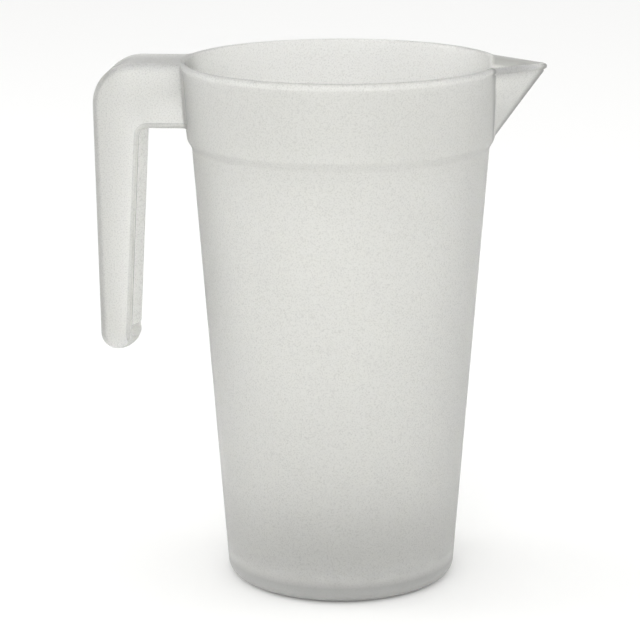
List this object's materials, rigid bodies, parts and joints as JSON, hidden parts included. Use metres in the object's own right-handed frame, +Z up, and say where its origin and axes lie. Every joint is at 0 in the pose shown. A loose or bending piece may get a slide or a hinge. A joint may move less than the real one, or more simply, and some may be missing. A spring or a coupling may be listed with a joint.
{
  "type": "beer pitcher",
  "caption": "Tapered stackable beer pitcher in frosted plastic, with a collar band over a stacking shoulder, a beak spout and an open-ended channel handle that hangs from the rim.",
  "frame": {"origin": "centre of the foot ring's flat face, on the vessel's axis", "axes": "+Z up along the vessel's axis, +X towards the spout's tip, handle on the -X side, +Y across"},
  "size_m": [0.182, 0.13, 0.215],
  "materials": {
    "frosted_polypropylene": "injection-moulded natural polypropylene, translucent, with a fine matt spark-eroded skin"
  },
  "bodies": {
    "root": {"rim_lip": "frosted_polypropylene", "collar_band": "frosted_polypropylene", "stacking_shoulder": "frosted_polypropylene", "body_wall": "frosted_polypropylene", "foot_ring": "frosted_polypropylene", "base_floor": "frosted_polypropylene", "pouring_spout": "frosted_polypropylene", "handle_arm": "frosted_polypropylene", "handle_grip": "frosted_polypropylene"}
  },
  "joints": []
}
